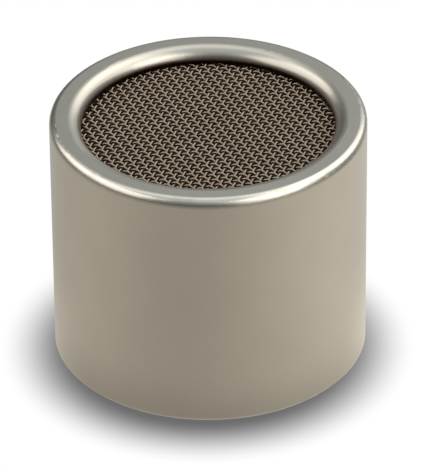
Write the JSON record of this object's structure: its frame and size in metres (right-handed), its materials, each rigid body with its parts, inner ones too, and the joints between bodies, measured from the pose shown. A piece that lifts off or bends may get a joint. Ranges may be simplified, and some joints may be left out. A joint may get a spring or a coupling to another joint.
{
  "type": "condenser microphone capsule",
  "caption": "Short turned metal condenser microphone capsule with a recessed woven wire grille at the front and a screw-on rear with a centre contact.",
  "frame": {"origin": "centre of the shell's rear rim, in the plane the capsule stands on and the microphone's body meets", "axes": "+Z along the sound axis, out through the woven grille; +X to the right and +Y away from someone who looks at the front of the pictured side"},
  "size_m": [0.02, 0.02, 0.0164],
  "materials": {
    "satin_nickel": "satin nickel plate on brass",
    "grille_wire": "satin nickel plate on bronze wire",
    "gauze": "fine dark acoustic gauze",
    "blackened_brass": "blackened",
    "black_plastic": "moulded, matt",
    "rubber": "matt",
    "brass": "turned brass",
    "white_plastic": "turned insulating plastic",
    "nickel_silver": "lapped flat",
    "cloth": "fine silk cloth",
    "amber_film": "amber insulating film",
    "metallised_film": "polyester film, metallised on its front",
    "gold_plate": "gold plate on brass",
    "spring_steel": "spring steel sheet",
    "board": "glass-fibre epoxy sheet"
  },
  "bodies": {
    "root": {"outer_shell": "satin_nickel", "grille_mesh": "grille_wire", "dust_gauze": "gauze", "front_spacer": "blackened_brass", "centring_sleeve": "black_plastic", "cartridge_gasket": "rubber", "cartridge_body": "brass", "backplate_insulator": "white_plastic", "backplate": "nickel_silver", "damping_cloth": "cloth", "diaphragm_spacer": "amber_film", "diaphragm_film": "metallised_film", "tension_ring": "brass", "clamp_ring": "brass", "terminal_screw": "gold_plate", "terminal_washer": "brass", "spring_washer": "spring_steel", "pressure_ring": "brass", "contact_plate": "board", "centre_contact": "gold_plate", "contact_nut": "brass", "contact_spring": "gold_plate", "retaining_ring": "satin_nickel"}
  },
  "joints": []
}
